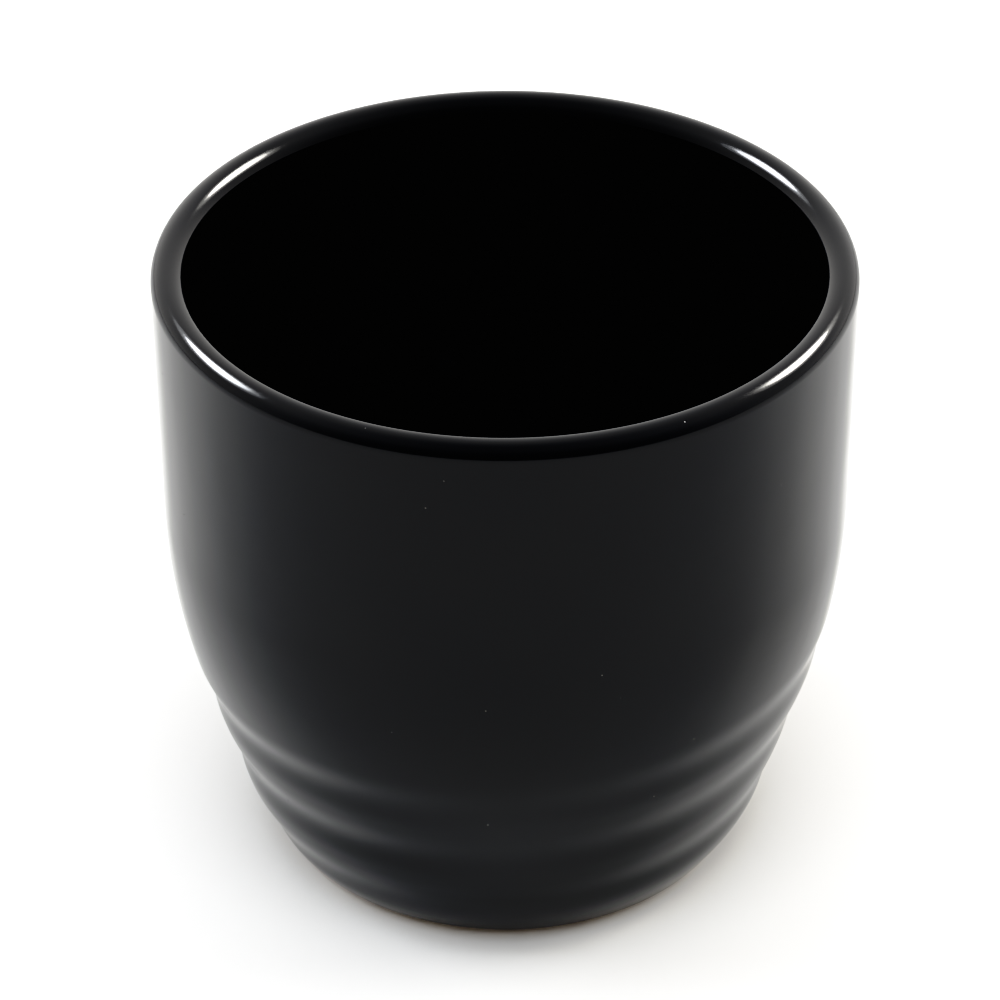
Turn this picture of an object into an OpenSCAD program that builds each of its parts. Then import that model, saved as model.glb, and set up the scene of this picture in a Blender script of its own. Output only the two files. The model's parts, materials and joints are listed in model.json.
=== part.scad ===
// Empty candle jar: an open, footed cup of glazed stoneware with throwing grooves round its lower wall.
// The fired clay body carries three coats of glaze: inside, outside, and in the well under its foot.
// The origin is the centre of the foot, on the table. +Z is up. Millimetres and degrees.

/* [Cup] */
// Outside diameter at the rim
rim_d = 84; // [78:1:96]
// Height from the table to the crest of the rim
cup_h = 80.5; // [76:0.5:96]
// Thickness of the wall at the rim, with its glaze
wall_t = 4.3; // [3.9:0.1:4.6]
// Width of the rim's rounded outer shoulder, from the wall to the crest
shoulder_w = 2; // [1.8:0.1:2.2]
// Height of the rim's outer shoulder
shoulder_h = 1.9; // [1.5:0.1:2.4]
// Height of the rim's inner shoulder, from the straight mouth to the crest
inner_shoulder_h = 2.3; // [1.6:0.1:2.8]
// Height of the truly round, straight mouth that a lid's plug slides into
mouth_h = 10; // [6:1:16]
// Thickness of the base, from the roof of the foot well to the inside floor
base_t = 5.5; // [4:0.5:6.5]

/* [Outside wall] */
// Lean of the upper wall, outwards as it rises
upper_lean = 0.3; // [0:0.1:1.5]
// Height where the wall starts to curve in
belly_z = 48; // [46:1:52]
// Radius of the belly curve
belly_r = 80; // [70:1:86]
// Lean of the lower wall, inwards as it falls
lower_lean = 17; // [15:0.5:19]
// Radius of the curve from the lower wall to the foot
foot_curve_r = 26; // [22:1:28]
// How far under the cup the foot curve has turned when it meets the table
foot_turn = 41; // [39:1:43]

/* [Inside wall] */
// Lean of the lower wall, inwards as it falls
inner_lean = 16; // [14:0.5:17]
// Radius of the corner between the wall and the floor
corner_r = 14; // [8:1:14]

/* [Throwing grooves] */
// Number of grooves
groove_count = 3; // [0:1:3]
// Depth of a groove below the ridges beside it
groove_depth = 0.4; // [0:0.05:0.8]
// Height of the highest groove
groove_top = 27.5; // [27:0.5:30]
// Distance from a groove down to the next
groove_pitch = 9.6; // [9:0.1:10]

/* [Foot] */
// Width of the bare ring that the cup stands on
foot_land = 3.6; // [2.5:0.1:5]
// Softened edge on both sides of the ring
foot_chamfer = 0.4; // [0.2:0.1:0.6]
// Depth of the well under the base
well_h = 2.6; // [2:0.1:3.2]
// Radius of the corner between the well's wall and its roof
well_corner_r = 1.2; // [0.8:0.1:1.5]

/* [Glaze] */
// Thickness of a coat
glaze_t = 0.4; // [0.3:0.05:0.5]
// Height of the wiped line where the glaze stops above the table
glaze_line = 1.2; // [1:0.1:1.6]

/* [Hidden] */
$fn = 128;

clay_colour = [0.74, 0.66, 0.56];
glaze_colour = [0.03, 0.03, 0.035];

rim_r = rim_d / 2;
mouth_r = rim_r - wall_t;
crest_r = rim_r - shoulder_w;
wall_top_z = cup_h - shoulder_h;
mouth_top_z = cup_h - inner_shoulder_h;
floor_z = well_h + base_t;

// The bare clay of the foot curve meets the table exactly where it has turned by foot_turn
foot_curve_z = (foot_curve_r - glaze_t) * sin(foot_turn);

// n + 1 values from a to b
function steps(a, b, n) = [for (i = [0:n]) a + (b - a) * i / n];

// n + 1 points on an arc
function arc(centre, r, a, b, n) = [for (t = steps(a, b, n)) centre + r * [cos(t), sin(t)]];

function reversed(list) = [for (i = [len(list) - 1:-1:0]) list[i]];

// Radius at height z of a wall that comes down straight from the point top, bends inwards on bend_r
// from bend_z, runs straight on at low_lean, and turns under on turn_r about the height turn_z
function wall_radius(z, top, top_lean, bend_z, bend_r, low_lean, turn_r, turn_z) =
    let (
        bend_x = top.x - (top.y - bend_z) * tan(top_lean) - bend_r * cos(top_lean),
        bend_centre_z = bend_z + bend_r * sin(top_lean),
        low_top = [bend_x + bend_r * cos(low_lean), bend_centre_z - bend_r * sin(low_lean)],
        turn_top_z = turn_z - turn_r * sin(low_lean),
        turn_top_x = low_top.x - (low_top.y - turn_top_z) * tan(low_lean),
        turn_x = turn_top_x - turn_r * cos(low_lean)
    )
    z >= bend_z ? top.x - (top.y - z) * tan(top_lean)
    : z >= low_top.y ? bend_x + sqrt(pow(bend_r, 2) - pow(bend_centre_z - z, 2))
    : z >= turn_top_z ? low_top.x - (low_top.y - z) * tan(low_lean)
    : turn_x + sqrt(max(0, pow(turn_r, 2) - pow(turn_z - z, 2)));

function outer_radius(z, inset = 0) =
    wall_radius(z, [rim_r - inset, wall_top_z], upper_lean, belly_z, belly_r - inset, lower_lean,
                foot_curve_r - inset, foot_curve_z);

function inner_radius(z) =
    wall_radius(z, [mouth_r, mouth_top_z - mouth_h], upper_lean, belly_z, belly_r, inner_lean,
                corner_r, floor_z + corner_r);

// How far the grooves cut into the wall at height z. number is 0 in the highest, 1 in the next, and so on.
function groove(z) =
    let (number = (groove_top - z) / groove_pitch)
    number > -0.5 && number < groove_count - 0.5 ? groove_depth * (1 + cos(360 * number)) / 2 : 0;

// Direction of travel at point i of an open line
function heading(line, i) =
    let (ahead = line[min(i + 1, len(line) - 1)] - line[max(i - 1, 0)])
    ahead / norm(ahead);

// An open line moved by d to the left of its direction of travel
function moved_left(line, d) =
    [for (i = [0:len(line) - 1])
        let (h = heading(line, i))
        line[i] + d * [-h.y, h.x]];

// Visible glaze of the wall: up the outside from the wiped line, over the crest, down to the floor's centre.
// The grooved stretch has a point at about every millimetre.
groove_end_z = groove_top + groove_pitch / 2;
outside_heights = concat(
    steps(glaze_line, groove_end_z, 34),
    [for (i = [1:5]) groove_end_z + (belly_z - groove_end_z) * i / 5]
);
outside_line = [for (z = outside_heights) [outer_radius(z) - groove(z), z]];
shoulder_steps = 8;
crest_line = concat(
    [for (t = steps(0, 90, shoulder_steps))
        [crest_r + shoulder_w * cos(t), wall_top_z + shoulder_h * sin(t)]],
    [for (t = steps(90 - 90 / shoulder_steps, 0, shoulder_steps - 1))
        [crest_r + (mouth_r - crest_r) * cos(t), mouth_top_z + inner_shoulder_h * sin(t)]]
);
inside_heights = concat(
    steps(mouth_top_z - mouth_h, belly_z, 1),
    [for (i = [1:6]) belly_z - belly_r * (sin(inner_lean) - sin(upper_lean)) * i / 6],
    [for (t = steps(inner_lean, 90, 12)) floor_z + corner_r * (1 - sin(t))]
);
inside_line = concat([for (z = inside_heights) [inner_radius(z), z]], [[0, floor_z]]);
wall_glaze_line = concat(outside_line, crest_line, inside_line);
crest_index = len(outside_line) + shoulder_steps;

// Visible glaze of the foot well: out along the roof from its centre, then down to the wiped line
foot_edge_r = outer_radius(0, glaze_t);
land_out_r = foot_edge_r - foot_chamfer;
land_in_r = land_out_r - foot_land;
well_r = land_in_r - foot_chamfer - glaze_t;
well_glaze_line = concat(
    [[0, well_h]],
    arc([well_r - well_corner_r, well_h - well_corner_r], well_corner_r, 90, 0, 6),
    [[well_r, min(glaze_line, well_h - well_corner_r - 0.1)]]
);

wall_clay_line = moved_left(wall_glaze_line, glaze_t);
well_clay_line = moved_left(well_glaze_line, glaze_t);

// Bare clay of the foot ring: down the well's wall, across the land, and up the outside to the wiped line
bare_heights = steps(foot_chamfer, glaze_line - foot_chamfer / 2, 2);
foot_ring_line = concat(
    [[land_in_r - foot_chamfer, foot_chamfer], [land_in_r, 0], [land_out_r, 0]],
    [for (z = bare_heights) [outer_radius(z, glaze_t) - groove(z), z]]
);

// A closed coat of glaze between its visible line and the clay
module coat(visible, clay) {
    rotate_extrude() polygon(concat(visible, reversed(clay)));
}

function part_of(line, from, to) = [for (i = [from:to]) line[i]];

module clay_body() {
    color(clay_colour)
        rotate_extrude()
            polygon(concat(well_clay_line, foot_ring_line, wall_clay_line));
}

module outer_glaze() {
    color(glaze_colour)
        coat(part_of(wall_glaze_line, 0, crest_index), part_of(wall_clay_line, 0, crest_index));
}

module liner_glaze() {
    last = len(wall_glaze_line) - 1;
    color(glaze_colour)
        coat(part_of(wall_glaze_line, crest_index, last), part_of(wall_clay_line, crest_index, last));
}

module foot_well_glaze() {
    color(glaze_colour)
        coat(well_glaze_line, well_clay_line);
}

clay_body();
liner_glaze();
outer_glaze();
foot_well_glaze();
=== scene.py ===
"""The looks of the empty candle jar: a footed cup of black glazed stoneware, empty and without a lid.

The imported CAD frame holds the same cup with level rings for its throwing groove. Here each of its four
pieces is rebuilt as a finer mesh with the real groove, one spiral that climbs round the lower wall.
Outlines are worked out in millimetres and degrees, as in the CAD source, and meshes are in metres.
"""

import json
import math

import bpy
import numpy as np
from mathutils import Matrix, Vector


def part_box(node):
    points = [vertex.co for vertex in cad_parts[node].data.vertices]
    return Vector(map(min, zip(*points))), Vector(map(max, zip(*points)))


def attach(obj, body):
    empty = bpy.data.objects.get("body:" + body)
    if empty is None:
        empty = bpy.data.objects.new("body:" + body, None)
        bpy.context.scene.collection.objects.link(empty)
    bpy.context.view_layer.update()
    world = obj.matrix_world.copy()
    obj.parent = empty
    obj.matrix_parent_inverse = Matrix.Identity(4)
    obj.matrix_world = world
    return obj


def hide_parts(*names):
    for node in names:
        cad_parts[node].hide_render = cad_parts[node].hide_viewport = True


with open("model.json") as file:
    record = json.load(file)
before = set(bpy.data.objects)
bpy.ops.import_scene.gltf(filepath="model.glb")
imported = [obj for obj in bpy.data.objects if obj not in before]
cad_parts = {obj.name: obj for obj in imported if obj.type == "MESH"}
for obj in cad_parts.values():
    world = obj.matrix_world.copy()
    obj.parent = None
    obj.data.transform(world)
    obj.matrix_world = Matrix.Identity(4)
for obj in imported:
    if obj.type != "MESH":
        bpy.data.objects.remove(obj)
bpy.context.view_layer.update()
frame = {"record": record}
MM = 0.001

# ---------------------------------------------------------------- dimensions, in millimetres and degrees

GLAZE_T = 0.4

# From the frame. The liner's lowest face lies one coat below the inside floor.
RIM_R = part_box("outer_glaze")[1].x / MM
CUP_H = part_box("liner_glaze")[1].z / MM
FLOOR_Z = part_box("liner_glaze")[0].z / MM + GLAZE_T
MOUTH = next(m for m in frame["record"]["mounts"] if m["name"] == "mouth")["dims"]
MOUTH_R = MOUTH["r_mm"]
MOUTH_H = MOUTH["length_mm"]

# As in the CAD source
SHOULDER_W = 2.0
SHOULDER_H = 1.9
INNER_SHOULDER_H = 2.3
UPPER_LEAN = 0.3
BELLY_Z = 48.0
BELLY_R = 80.0
LOWER_LEAN = 17.0
FOOT_CURVE_R = 26.0
FOOT_TURN = 41.0
INNER_LEAN = 16.0
CORNER_R = 14.0
FOOT_LAND = 3.6
FOOT_CHAMFER = 0.4
WELL_H = 2.6
WELL_CORNER_R = 1.2
GLAZE_LINE = 1.2
GROOVE_TOP = 27.5
GROOVE_PITCH = 9.6
GROOVE_DEPTH = 0.4

# Worked out from these
WALL_TOP_Z = CUP_H - SHOULDER_H
MOUTH_TOP_Z = CUP_H - INNER_SHOULDER_H
CREST_R = RIM_R - SHOULDER_W
FOOT_CURVE_Z = (FOOT_CURVE_R - GLAZE_T) * math.sin(math.radians(FOOT_TURN))

# The spiral groove. A power above 1 makes it sharper than a wave. It is tilted up to the right, and it ends
# between two shares of a turn past the front, and fades out below a height. It is shallower about the front,
# by a bell curve of that many degrees, and deeper on the left than on the right.
GROOVE_SHARPNESS = 1.3
GROOVE_TILT = 1.25
GROOVE_END_TURNS = (0.15, 0.5)
GROOVE_FADE_H = 5.0
GROOVE_FRONT_SHARE = 0.15
GROOVE_FRONT_ANGLE = 32.0
GROOVE_LEFT_SHARE = 0.3

# The glaze's rounded edge at the wiped line, and how far the line wanders up and down
BEAD_W = 0.5
LINE_WANDER = 0.12
LINE_WANDER_H = 3.0

# The meshes: columns round the cup, and rings up it. The rings are close in a short stretch above the wiped
# line, and one step apart from there up to GROOVED_H. The faces against the clay keep one ring of every
# HIDDEN_STEP, and the clay keeps one of every CLAY_STEP.
COLUMNS = 320
LINE_STRETCH_H = 0.9
LINE_STRETCH_RINGS = 10
RING_STEP = 0.35
GROOVED_H = GROOVE_TOP + 1.5 * GROOVE_PITCH
UPPER_RINGS = 34
SHOULDER_RINGS = 29
MOUTH_RINGS = 9
INSIDE_RINGS = 33
CORNER_RINGS = 25
FLOOR_RINGS = 9
WELL_ROOF_RINGS = 12
WELL_CORNER_RINGS = 13
WELL_WALL_RINGS = 5
BARE_RINGS = 8
HIDDEN_STEP = 3
CLAY_STEP = 2

# A ring narrower than this is the single point at the cup's centre
POLE_R = 1e-6

ANGLES = np.arange(COLUMNS) * 2 * math.pi / COLUMNS


# ---------------------------------------------------------------- outlines


def sine(degrees):
    return math.sin(math.radians(degrees))


def cosine(degrees):
    return math.cos(math.radians(degrees))


def wall_radius(z, top, top_lean, bend_z, bend_r, low_lean, turn_r, turn_z):
    """Radius at height z of a wall that comes down straight from the point top, bends inwards on bend_r
    from bend_z, runs straight on at low_lean, and turns under on turn_r about the height turn_z."""
    top_slope = math.tan(math.radians(top_lean))
    low_slope = math.tan(math.radians(low_lean))
    bend_x = top[0] - (top[1] - bend_z) * top_slope - bend_r * cosine(top_lean)
    bend_centre_z = bend_z + bend_r * sine(top_lean)
    low_x = bend_x + bend_r * cosine(low_lean)
    low_z = bend_centre_z - bend_r * sine(low_lean)
    turn_top_z = turn_z - turn_r * sine(low_lean)
    turn_x = low_x - (low_z - turn_top_z) * low_slope - turn_r * cosine(low_lean)
    straight_top = top[0] - (top[1] - z) * top_slope
    bend = bend_x + np.sqrt(np.maximum(0, bend_r**2 - (bend_centre_z - z) ** 2))
    straight_low = low_x - (low_z - z) * low_slope
    turn = turn_x + np.sqrt(np.maximum(0, turn_r**2 - (turn_z - z) ** 2))
    return np.select([z >= bend_z, z >= low_z, z >= turn_top_z], [straight_top, bend, straight_low], turn)


def outer_radius(z, inset=0.0):
    top = (RIM_R - inset, WALL_TOP_Z)
    return wall_radius(
        z, top, UPPER_LEAN, BELLY_Z, BELLY_R - inset, LOWER_LEAN, FOOT_CURVE_R - inset, FOOT_CURVE_Z
    )


def inner_radius(z):
    top = (MOUTH_R, MOUTH_TOP_Z - MOUTH_H)
    curved = wall_radius(
        z, top, UPPER_LEAN, BELLY_Z, BELLY_R, INNER_LEAN, CORNER_R, FLOOR_Z + CORNER_R
    )
    return np.where(z >= top[1], MOUTH_R, curved)


def smooth_step(x):
    x = np.clip(x, 0, 1)
    return x * x * (3 - 2 * x)


def groove(z, angle):
    """How far the spiral groove cuts into the wall. It climbs anticlockwise, seen from above."""
    round_from_front = (angle / (2 * math.pi) + 0.25 + 0.5) % 1 - 0.5
    below_top = GROOVE_TOP + GROOVE_TILT * np.cos(angle) - z
    turn = round_from_front + below_top / GROOVE_PITCH
    along = round_from_front - np.round(turn)
    shape = np.cos(math.pi * turn) ** 2
    start, end = GROOVE_END_TURNS
    fade_out = 1 - smooth_step((along - start) / (end - start))
    fade_down = smooth_step(z / GROOVE_FADE_H)
    near_front = np.exp(-((round_from_front * 360 / GROOVE_FRONT_ANGLE) ** 2))
    share = (1 - (1 - GROOVE_FRONT_SHARE) * near_front) * (1 - GROOVE_LEFT_SHARE * np.cos(angle))
    return GROOVE_DEPTH * shape**GROOVE_SHARPNESS * fade_out * fade_down * share


def line_wander(angle):
    """How far the wiped line lies above or below its mean height."""
    waves = np.sin(2 * angle + 0.6) + 0.5 * np.sin(5 * angle) + 0.3 * np.sin(11 * angle + 2)
    return LINE_WANDER * waves / 1.8


# The bare ring, and the well's wall inside it
LAND_OUT_R = float(outer_radius(np.array([0.0]), GLAZE_T)[0]) - FOOT_CHAMFER
LAND_IN_R = LAND_OUT_R - FOOT_LAND
WELL_R = LAND_IN_R - FOOT_CHAMFER - GLAZE_T


# ---------------------------------------------------------------- grids of rings: (rings, COLUMNS, 3)


def rings(radii, heights):
    """Points of rings, from radii and heights that are one number a ring, or one for each column of it."""
    radii = np.broadcast_to(np.asarray(radii, float).reshape(len(radii), -1), (len(radii), COLUMNS))
    heights = np.broadcast_to(np.asarray(heights, float).reshape(len(heights), -1), radii.shape)
    return np.stack([radii * np.cos(ANGLES), radii * np.sin(ANGLES), heights], axis=-1)


def normals_of(points, pole_normal=None):
    """Unit normals of a grid, to the left of its rings' order as they turn anticlockwise."""
    across = np.roll(points, -1, axis=1) - np.roll(points, 1, axis=1)
    along = np.gradient(points, axis=0)
    normals = np.cross(across, along)
    size = np.linalg.norm(normals, axis=-1, keepdims=True)
    normals = normals / np.maximum(size, 1e-12)
    if pole_normal is not None:
        normals[np.hypot(points[..., 0], points[..., 1]) < POLE_R] = pole_normal
    return normals


def thinned(points, step=HIDDEN_STEP):
    """Every few rings of a grid, with its first and last."""
    kept = sorted(set(range(0, len(points), step)) | {len(points) - 1})
    return points[kept]


def wall_skin():
    """The wall's glazed face: up the outside from the wiped line, over the crest, down to the floor's centre.
    Returns its points, the glaze's share of its full thickness at each ring, and the ring of the crest."""
    near_line = GLAZE_LINE + LINE_STRETCH_H * np.linspace(0, 1, LINE_STRETCH_RINGS) ** 2
    grooved = np.arange(near_line[-1] + RING_STEP, GROOVED_H, RING_STEP)
    upper = np.linspace(GROOVED_H, WALL_TOP_Z, UPPER_RINGS)
    height = np.concatenate([near_line, grooved, upper])[:, None]
    wander = line_wander(ANGLES) * (1 - smooth_step((height - GLAZE_LINE) / LINE_WANDER_H))
    outside_z = height + wander
    outside_r = outer_radius(outside_z) - groove(outside_z, ANGLES)
    outside = rings(outside_r, outside_z)
    rise = np.radians(np.linspace(0, 90, SHOULDER_RINGS))[1:]
    fall = np.radians(np.linspace(90, 0, SHOULDER_RINGS))[1:-1]
    crest_in_w = CREST_R - MOUTH_R
    crest_r = np.concatenate([CREST_R + SHOULDER_W * np.cos(rise), CREST_R - crest_in_w * np.cos(fall)])
    crest_z = np.concatenate([
        WALL_TOP_Z + SHOULDER_H * np.sin(rise), MOUTH_TOP_Z + INNER_SHOULDER_H * np.sin(fall)
    ])
    crest = rings(crest_r, crest_z)
    mouth_low_z = MOUTH_TOP_Z - MOUTH_H
    corner_top_z = FLOOR_Z + CORNER_R * (1 - sine(INNER_LEAN))
    corner_turns = np.radians(np.linspace(INNER_LEAN, 90, CORNER_RINGS))
    inside_z = np.concatenate([
        np.linspace(MOUTH_TOP_Z, mouth_low_z, MOUTH_RINGS),
        np.linspace(mouth_low_z, corner_top_z, INSIDE_RINGS)[1:],
        FLOOR_Z + CORNER_R * (1 - np.sin(corner_turns))[1:],
    ])
    inside = rings(inner_radius(inside_z), inside_z)
    floor_r = np.linspace(inner_radius(np.array([FLOOR_Z]))[0], 0, FLOOR_RINGS)[1:]
    floor = rings(floor_r, np.full(len(floor_r), FLOOR_Z))
    points = np.concatenate([outside, crest, inside, floor])
    share = np.ones(len(points))
    reach = np.clip((height[:, 0] - GLAZE_LINE) / BEAD_W, 0, 1)
    share[: len(height)] = np.sqrt(1 - (1 - reach) ** 2)
    return points, share, len(outside) + len(rise) - 1


def well_skin():
    """The foot well's glazed face: out along its roof from the centre, then down to the wiped line."""
    corner = np.radians(np.linspace(90, 0, WELL_CORNER_RINGS))
    centre_r = WELL_R - WELL_CORNER_R
    centre_z = WELL_H - WELL_CORNER_R
    roof_r = np.linspace(0, centre_r, WELL_ROOF_RINGS)[:-1]
    wall_z = GLAZE_LINE + (centre_z - GLAZE_LINE) * np.linspace(1, 0, WELL_WALL_RINGS)[1:]
    radii = np.concatenate([roof_r, centre_r + WELL_CORNER_R * np.cos(corner), np.full(len(wall_z), WELL_R)])
    heights = np.concatenate([
        np.full(len(roof_r), WELL_H), centre_z + WELL_CORNER_R * np.sin(corner), wall_z
    ])
    return rings(radii, heights)


# ---------------------------------------------------------------- meshes


def ring_vertices(grid, vertices):
    """Adds a grid's rings to the vertices, and returns each ring's indices. A ring of no width is one
    point."""
    indices = []
    for ring in grid:
        start = len(vertices)
        if np.abs(ring[:, :2]).max() < POLE_R:
            vertices.append(ring[0])
            indices.append([start] * COLUMNS)
        else:
            vertices.extend(ring)
            indices.append(list(range(start, start + COLUMNS)))
    return indices


def strip(low, high, low_normals, high_normals, faces, normals):
    """Faces between two rings, each with its corners' normals."""
    for a in range(COLUMNS):
        b = (a + 1) % COLUMNS
        corners = [
            (low[a], low_normals[a]), (low[b], low_normals[b]),
            (high[b], high_normals[b]), (high[a], high_normals[a]),
        ]
        if low[a] == low[b]:
            corners.pop(1)
        if high[a] == high[b]:
            corners.pop()
        faces.append([c[0] for c in corners])
        normals.extend(c[1] for c in corners)


def make_piece(name, stretches, closed=False):
    """A smooth mesh of stretches of rings. Each is (points, normals) and starts on the ring where the one
    before it ends. The last ends on the first ring of all if the piece is closed, else at a point."""
    vertices, faces, normals = [], [], []
    first = last = None
    for number, (points, point_normals) in enumerate(stretches):
        ends_on_first = closed and number == len(stretches) - 1
        fresh = points[0 if number == 0 else 1 : -1 if ends_on_first else None]
        indices = ring_vertices(fresh, vertices)
        if number:
            indices.insert(0, last)
        if ends_on_first:
            indices.append(first)
        first = first or indices[0]
        last = indices[-1]
        for i in range(len(indices) - 1):
            strip(indices[i], indices[i + 1], point_normals[i], point_normals[i + 1], faces, normals)
    mesh = bpy.data.meshes.new(name)
    mesh.from_pydata([Vector(v) * MM for v in vertices], [], faces)
    mesh.polygons.foreach_set("use_smooth", [True] * len(faces))
    mesh.normals_split_custom_set([Vector(n) for n in normals])
    mesh.update()
    piece = bpy.data.objects.new(name, mesh)
    bpy.context.scene.collection.objects.link(piece)
    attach(piece, "root")
    return piece


def plain(points):
    return points, normals_of(points)


def build_cup():
    """The clay body and its three coats of glaze, each a closed solid that fits its neighbours."""
    skin, share, crest = wall_skin()
    skin_normals = normals_of(skin, (0, 0, 1))
    clay = skin - GLAZE_T * skin_normals
    skin = clay + GLAZE_T * share[:, None, None] * skin_normals
    skin_normals = normals_of(skin, (0, 0, 1))
    well = well_skin()
    well_normals = normals_of(well, (0, 0, -1))
    well_clay = well - GLAZE_T * well_normals

    outer_back = thinned(clay[: crest + 1])[::-1]
    outer_back[-1] = skin[0]
    outer = make_piece("outer_glaze_coat", [
        (skin[: crest + 1], skin_normals[: crest + 1]),
        plain(np.stack([skin[crest], clay[crest]])),
        plain(outer_back),
    ], closed=True)

    liner_back = thinned(clay[crest:])[::-1]
    liner = make_piece("liner_glaze_coat", [
        (liner_back, normals_of(liner_back, (0, 0, -1))),
        plain(np.stack([clay[crest], skin[crest]])),
        (skin[crest:], skin_normals[crest:]),
    ])

    well_back = well_clay[::-1]
    well_coat = make_piece("foot_well_glaze_coat", [
        (well, well_normals),
        plain(np.stack([well[-1], well_clay[-1]])),
        (well_back, normals_of(well_back, (0, 0, 1))),
    ])

    edge_z = clay[0][:, 2]
    bare_z = FOOT_CHAMFER + (edge_z - FOOT_CHAMFER) * np.linspace(0, 1, BARE_RINGS)[:, None]
    bare = rings(outer_radius(bare_z, GLAZE_T) - groove(bare_z, ANGLES), bare_z)
    bare[-1] = clay[0]
    land = rings([LAND_IN_R, LAND_OUT_R], [0, 0])
    inner_edge = rings([LAND_IN_R - FOOT_CHAMFER, LAND_IN_R], [FOOT_CHAMFER, 0])
    outer_edge = np.concatenate([land[1:], bare[:1]])
    well_drop = np.concatenate([well_clay[-1:], inner_edge[:1]])
    clay_rows = thinned(clay, CLAY_STEP)
    clay_body = make_piece("stoneware_body", [
        (well_clay, normals_of(well_clay, (0, 0, -1))),
        plain(well_drop), plain(inner_edge), plain(land), plain(outer_edge), plain(bare),
        (clay_rows, normals_of(clay_rows, (0, 0, 1))),
    ])
    return {
        "clay_body": clay_body,
        "liner_glaze": liner,
        "outer_glaze": outer,
        "foot_well_glaze": well_coat,
    }


# ---------------------------------------------------------------- materials

BLACK = (0.0020, 0.0034, 0.0070, 1)
BLACK_WORN = (0.0040, 0.0050, 0.0076, 1)
DUST = (0.15, 0.15, 0.14, 1)
GLAZE_IOR = 1.5

CLAY_DARK = (0.38, 0.32, 0.26, 1)
CLAY_PALE = (0.54, 0.47, 0.39, 1)
CLAY_TOASTED = (0.19, 0.145, 0.11, 1)
GROG = (0.62, 0.55, 0.46, 1)
IRON = (0.07, 0.04, 0.025, 1)


class Nodes:
    """Short ways to add and link the nodes of one material."""

    def __init__(self, name):
        self.material = bpy.data.materials.new(name)
        self.material.use_nodes = True
        self.tree = self.material.node_tree
        self.shader = self.tree.nodes["Principled BSDF"]
        self.place = self.tree.nodes.new("ShaderNodeTexCoord").outputs["Object"]

    def link(self, source, target):
        self.tree.links.new(source, target)

    def add(self, kind, inputs=None, **settings):
        node = self.tree.nodes.new(kind)
        for key, value in settings.items():
            setattr(node, key, value)
        for key, value in (inputs or {}).items():
            if isinstance(value, bpy.types.NodeSocket):
                self.link(value, node.inputs[key])
            else:
                node.inputs[key].default_value = value
        return node

    def noise(self, per_mm, detail=2.0, roughness=0.5):
        """Noise with about that many features to the millimetre."""
        inputs = {"Vector": self.place, "Scale": per_mm / MM, "Detail": detail, "Roughness": roughness}
        return self.add("ShaderNodeTexNoise", inputs).outputs["Fac"]

    def ranged(self, value, low, high, out_low, out_high):
        """value's stretch from low to high, carried over to another range."""
        inputs = {"Value": value, "From Min": low, "From Max": high, "To Min": out_low, "To Max": out_high}
        return self.add("ShaderNodeMapRange", inputs).outputs["Result"]

    def specks(self, per_mm, size, share):
        """1 inside small round specks, and 0 elsewhere: size is their radius as a share of a cell."""
        cells = self.add("ShaderNodeTexVoronoi", {"Vector": self.place, "Scale": per_mm / MM})
        chosen = self.add("ShaderNodeSeparateColor", {"Color": cells.outputs["Color"]}).outputs["Red"]
        inside = self.ranged(cells.outputs["Distance"], size, size * 0.6, 0, 1)
        picked = self.ranged(chosen, 1 - share, 1 - share + 0.001, 0, 1)
        return self.add("ShaderNodeMath", {0: inside, 1: picked}, operation="MULTIPLY").outputs["Value"]

    def mix(self, share, first, second):
        inputs = {"Factor": share, "A": first, "B": second}
        node = self.add("ShaderNodeMix", data_type="RGBA")
        for key, value in inputs.items():
            socket = next(s for s in node.inputs if s.name == key and s.enabled)
            if isinstance(value, bpy.types.NodeSocket):
                self.link(value, socket)
            else:
                socket.default_value = value
        return next(s for s in node.outputs if s.enabled)

    def bump(self, height, depth_mm, below=None):
        inputs = {"Height": height, "Distance": depth_mm * MM, "Strength": 1.0}
        if below is not None:
            inputs["Normal"] = below
        return self.add("ShaderNodeBump", inputs).outputs["Normal"]


def glaze_material(name, colour, worn_colour, roughness, dust):
    """Black gloss glaze: faint orange peel, tone that drifts a little, and a few specks of dust and pits."""
    nodes = Nodes(name)
    shader = nodes.shader
    drift = nodes.ranged(nodes.noise(per_mm=0.05, detail=3.0), 0.35, 0.7, 0, 1)
    base = nodes.mix(drift, colour, worn_colour)
    dust_mask = nodes.specks(per_mm=0.45, size=0.055, share=dust)
    nodes.link(nodes.mix(dust_mask, base, DUST), shader.inputs["Base Color"])
    smooth, rough = roughness
    gloss = nodes.ranged(nodes.noise(per_mm=0.12, detail=4.0), 0.3, 0.7, smooth, rough)
    dusty = nodes.add("ShaderNodeMath", {0: gloss, 1: dust_mask}, operation="ADD").outputs["Value"]
    nodes.link(dusty, shader.inputs["Roughness"])
    slow = nodes.bump(nodes.noise(per_mm=0.09, detail=1.0), depth_mm=0.05)
    peel = nodes.bump(nodes.noise(per_mm=0.8), depth_mm=0.0035, below=slow)
    pits = nodes.bump(nodes.specks(per_mm=0.6, size=0.10, share=0.05), depth_mm=-0.02, below=peel)
    nodes.link(pits, shader.inputs["Normal"])
    shader.inputs["IOR"].default_value = GLAZE_IOR
    return nodes.material


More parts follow.
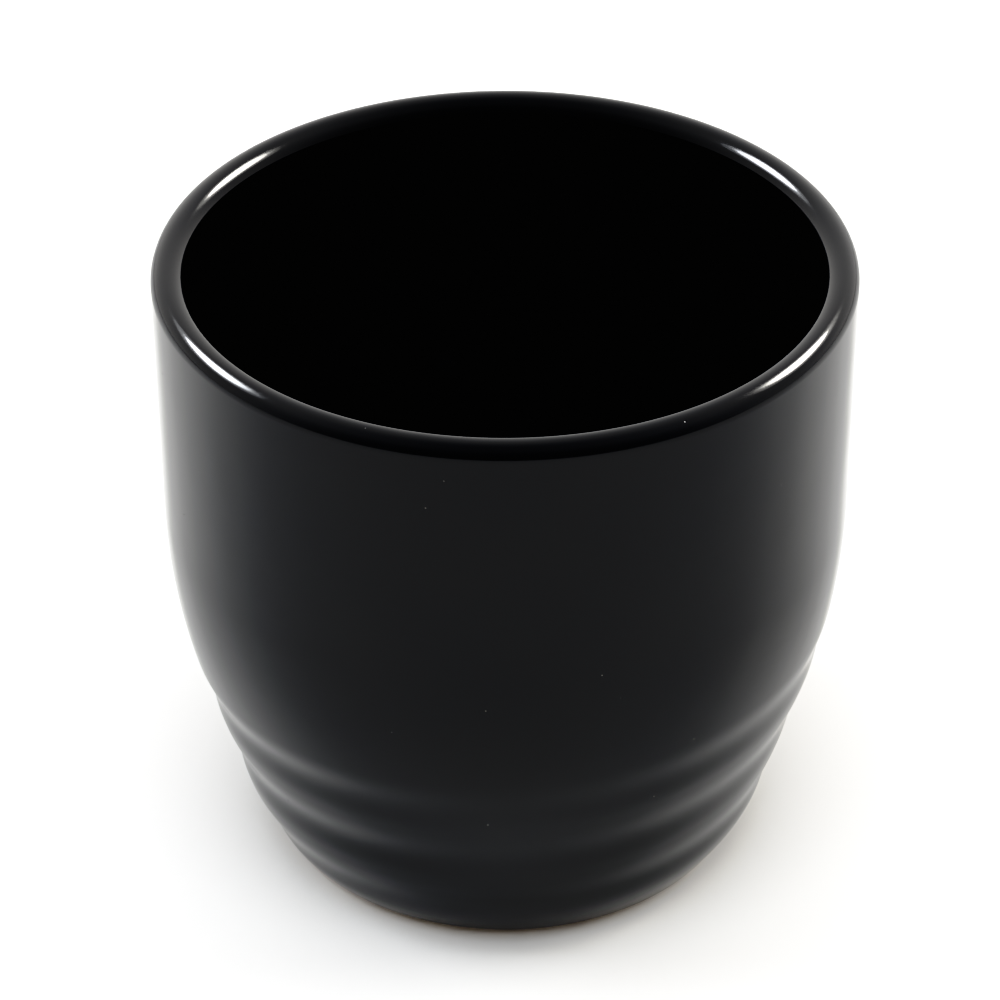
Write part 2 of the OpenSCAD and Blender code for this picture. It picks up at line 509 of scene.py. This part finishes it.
def clay_material(name):
    """Bare stoneware: matt buff with darker grog and iron specks, toasted where it meets the glaze."""
    nodes = Nodes(name)
    shader = nodes.shader
    mottle = nodes.ranged(nodes.noise(per_mm=0.25, detail=4.0, roughness=0.6), 0.3, 0.7, 0, 1)
    base = nodes.mix(mottle, CLAY_DARK, CLAY_PALE)
    height = nodes.add("ShaderNodeSeparateXYZ", {"Vector": nodes.place}).outputs["Z"]
    toast = nodes.ranged(height, 0.5 * MM, 1.5 * MM, 0, 0.6)
    base = nodes.mix(toast, base, CLAY_TOASTED)
    grog = nodes.specks(per_mm=2.2, size=0.28, share=0.25)
    base = nodes.mix(grog, base, GROG)
    iron = nodes.specks(per_mm=1.1, size=0.16, share=0.10)
    nodes.link(nodes.mix(iron, base, IRON), shader.inputs["Base Color"])
    matt = nodes.ranged(nodes.noise(per_mm=1.5), 0.3, 0.7, 0.78, 0.95)
    nodes.link(matt, shader.inputs["Roughness"])
    grain = nodes.bump(nodes.noise(per_mm=3.0, detail=4.0, roughness=0.7), depth_mm=0.06)
    uneven = nodes.bump(nodes.noise(per_mm=0.6), depth_mm=0.05, below=grain)
    nodes.link(uneven, shader.inputs["Normal"])
    return nodes.material


def paint(piece, material):
    piece.data.materials.clear()
    piece.data.materials.append(material)


# ---------------------------------------------------------------- studio

# The camera's place from the centre of the foot, its angles, and its lens and sensor
CAMERA_RIGHT = -0.67
CAMERA_BACK = 414.4
CAMERA_UP = 327.1
CAMERA_PITCH = 34.21
CAMERA_ROLL = -0.164
LENS = 146.4
SENSOR_W = 36

# Metres
FLOOR_SIZE = 6.0
FLOOR_WHITE = (0.9, 0.9, 0.9, 1)

COOL = (0.93, 0.96, 1.0)
WARM = (1.0, 0.98, 0.92)
DAYLIGHT = (0.96, 0.98, 1.0)

# The room's light lies between dim and bright. By the direction that the light comes from, it grows as Y
# goes through ROOM_BEHIND, from a share ahead of the cup to all of it behind, and fades as Z goes through
# ROOM_ABOVE.
ROOM_COLOUR = (1.0, 0.98, 0.95, 1)
ROOM_DIM = 0.15
ROOM_BRIGHT = 1.45
ROOM_BEHIND = (-1.0, 0.5)
ROOM_AHEAD_SHARE = 0.1
ROOM_ABOVE = (0.75, 1.25)

# The print's tones: light in the scene, and light in the picture
ALL_CHANNELS = 3
BLACK_POINT = 0.0006
TONE_CURVE = [
    (0.03, 0.002), (0.06, 0.0087), (0.085, 0.0175), (0.12, 0.048), (0.2, 0.133), (0.43, 0.35), (0.56, 0.46),
    (0.76, 0.75), (0.94, 0.95),
]


def make_camera():
    """A long lens above the front of the cup, looking down at it."""
    camera = bpy.data.objects.new("camera", bpy.data.cameras.new("camera"))
    camera.data.lens = LENS
    camera.data.sensor_width = SENSOR_W
    camera.data.clip_start = 0.01
    camera.data.clip_end = 50
    place = Matrix.Translation(Vector((CAMERA_RIGHT, -CAMERA_BACK, CAMERA_UP)) * MM)
    tilt = Matrix.Rotation(math.radians(90 - CAMERA_PITCH), 4, "X")
    roll = Matrix.Rotation(math.radians(CAMERA_ROLL), 4, "Z")
    camera.matrix_world = place @ tilt @ roll
    bpy.context.scene.collection.objects.link(camera)
    bpy.context.scene.camera = camera


def make_floor():
    mesh = bpy.data.meshes.new("floor")
    half = FLOOR_SIZE / 2
    corners = [(-half, -half, 0), (half, -half, 0), (half, half, 0), (-half, half, 0)]
    mesh.from_pydata(corners, [], [(0, 1, 2, 3)])
    floor = bpy.data.objects.new("floor", mesh)
    bpy.context.scene.collection.objects.link(floor)
    nodes = Nodes("floor_white")
    nodes.shader.inputs["Base Color"].default_value = FLOOR_WHITE
    nodes.shader.inputs["Roughness"].default_value = 0.9
    nodes.shader.inputs["Specular IOR Level"].default_value = 0.1
    paint(floor, nodes.material)


def lamp(name, azimuth, elevation, distance, size, power, colour, in_gloss=True, on_matt=True):
    """A soft oval light that faces the cup. Azimuth 0 is to the right of the cup, 90 behind it. Distance and
    size are in metres."""
    light = bpy.data.lights.new(name, "AREA")
    light.shape = "ELLIPSE"
    light.size, light.size_y = size
    light.energy = power
    light.color = colour
    box = bpy.data.objects.new(name, light)
    way = Vector((cosine(azimuth) * cosine(elevation), sine(azimuth) * cosine(elevation), sine(elevation)))
    box.location = way * distance + Vector((0, 0, CUP_H * MM / 2))
    box.rotation_euler = (-way).to_track_quat("-Z", "Y").to_euler()
    box.visible_glossy = in_gloss
    box.visible_diffuse = on_matt
    bpy.context.scene.collection.objects.link(box)


def ranged_in_world(tree, value, low_high, out_low_high, interpolation="SMOOTHSTEP"):
    """value's stretch between two numbers, carried over to two others."""
    node = tree.nodes.new("ShaderNodeMapRange")
    node.interpolation_type = interpolation
    tree.links.new(value, node.inputs["Value"])
    for key, number in zip(("From Min", "From Max", "To Min", "To Max"), (*low_high, *out_low_high)):
        node.inputs[key].default_value = number
    return node.outputs["Result"]


def make_room():
    """A pale room, bright behind the cup, and dimmer ahead of it and straight overhead."""
    world = bpy.data.worlds.new("room")
    world.use_nodes = True
    tree = world.node_tree
    background = tree.nodes["Background"]
    way = tree.nodes.new("ShaderNodeTexCoord")
    parts = tree.nodes.new("ShaderNodeSeparateXYZ")
    tree.links.new(way.outputs["Generated"], parts.inputs["Vector"])
    share = tree.nodes.new("ShaderNodeMath")
    share.operation = "MULTIPLY"
    tree.links.new(ranged_in_world(tree, parts.outputs["Z"], ROOM_ABOVE, (1, 0)), share.inputs[0])
    behind = ranged_in_world(tree, parts.outputs["Y"], ROOM_BEHIND, (ROOM_AHEAD_SHARE, 1))
    tree.links.new(behind, share.inputs[1])
    strength = ranged_in_world(tree, share.outputs["Value"], (0, 1), (ROOM_DIM, ROOM_BRIGHT), "LINEAR")
    tree.links.new(strength, background.inputs["Strength"])
    background.inputs["Color"].default_value = ROOM_COLOUR
    bpy.context.scene.world = world


def make_lamps():
    """Soft boxes that only show in the gloss, behind the cup on either side, and fills that only light matt
    surfaces."""
    lamp("left_box", 145, 43, 0.9, (0.42, 0.26), 5.5, COOL, on_matt=False)
    lamp("right_box", 39, 43, 0.9, (0.42, 0.26), 5.5, WARM, on_matt=False)
    lamp("left_glow", 147, 42, 0.9, (0.64, 0.36), 1.0, COOL, on_matt=False)
    lamp("right_glow", 37, 42, 0.9, (0.64, 0.36), 1.0, WARM, on_matt=False)
    lamp("left_fill", 172, 38, 0.9, (0.5, 0.5), 2.8, COOL, in_gloss=False)
    lamp("right_fill", 8, 38, 0.9, (0.5, 0.5), 2.8, WARM, in_gloss=False)
    lamp("front_fill", -90, 64, 1.1, (0.8, 0.6), 4.8, DAYLIGHT, in_gloss=False)


def set_tone():
    """A contrasty print: deep blacks and a clean white background."""
    settings = bpy.context.scene.view_settings
    settings.view_transform = "Standard"
    settings.use_curve_mapping = True
    curve = settings.curve_mapping.curves[ALL_CHANNELS]
    curve.points[0].location = (0, BLACK_POINT)
    for dark, printed in TONE_CURVE:
        curve.points.new(dark, printed)
    settings.curve_mapping.update()


# ---------------------------------------------------------------- assembly

pieces = build_cup()
looks = {
    "clay_body": clay_material("bare_clay"),
    "liner_glaze": glaze_material("liner_glaze", BLACK, BLACK_WORN, (0.08, 0.12), 0.02),
    "outer_glaze": glaze_material("outer_glaze", BLACK, BLACK_WORN, (0.08, 0.12), 0.10),
    "foot_well_glaze": glaze_material("foot_well_glaze", BLACK, BLACK_WORN, (0.06, 0.12), 0.02),
}
for node, piece in pieces.items():
    paint(piece, looks[node])
    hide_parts(node)

make_floor()
make_room()
make_lamps()
make_camera()
set_tone()
